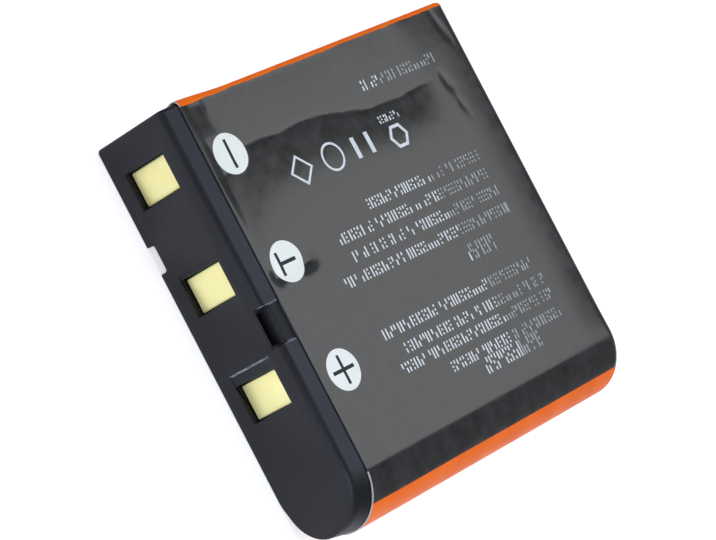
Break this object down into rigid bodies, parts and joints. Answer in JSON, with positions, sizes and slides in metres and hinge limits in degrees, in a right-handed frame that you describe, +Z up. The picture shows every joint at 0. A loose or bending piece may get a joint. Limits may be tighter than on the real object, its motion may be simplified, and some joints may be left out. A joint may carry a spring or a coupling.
{
  "type": "printer battery pack",
  "caption": "Flat rechargeable lithium pack for a pocket printer or camera: moulded terminal end with recessed gold contacts, half-round side and two-colour film wrap.",
  "frame": {"origin": "middle of the bounding box on the plane of the underside", "axes": "+Z up out of the printed face, +X along the contact row from the square side to the half-round side, -Y out of the terminal face"},
  "size_m": [0.0384, 0.0382, 0.0096],
  "materials": {
    "cap_plastic": "black moulded plastic, fine matt grain",
    "contact_gold": "pale gold plating, satin",
    "board_laminate": "green solder resist",
    "chip_resin": "black moulded resin",
    "chip_ceramic": "fired chip with plated ends",
    "nickel": "bare nickel strip",
    "insulator_paper": "pale insulating paper",
    "cell_metal": "drawn aluminium, satin",
    "seal_plastic": "natural sealing plastic",
    "winding_foil": "wound foil and separator",
    "frame_plastic": "black moulded plastic",
    "tape": "white double-sided tape",
    "label_black": "black printed film, glossy",
    "label_orange": "orange printed film, glossy",
    "mark_ink": "pale printed ink"
  },
  "bodies": {
    "root": {"end_cap": "cap_plastic", "contact_minus": "contact_gold", "contact_thermistor": "contact_gold", "contact_plus": "contact_gold", "circuit_board": "board_laminate", "protection_chip": "chip_resin", "switch_transistors": "chip_resin", "chip_resistors": "chip_ceramic", "chip_capacitors": "chip_ceramic", "thermistor": "chip_ceramic", "resettable_fuse": "nickel", "negative_tab": "nickel", "positive_tab": "nickel", "lid_insulator": "insulator_paper", "cell_can": "cell_metal", "cell_lid": "cell_metal", "rivet_terminal": "cell_metal", "collector_plate": "cell_metal", "fill_plug": "cell_metal", "rivet_gasket": "seal_plastic", "winding_cover": "seal_plastic", "electrode_winding": "winding_foil", "side_frame": "frame_plastic", "adhesive_tape": "tape", "front_label": "label_black", "rear_label": "label_orange", "polarity_marks": "mark_ink"}
  },
  "joints": []
}
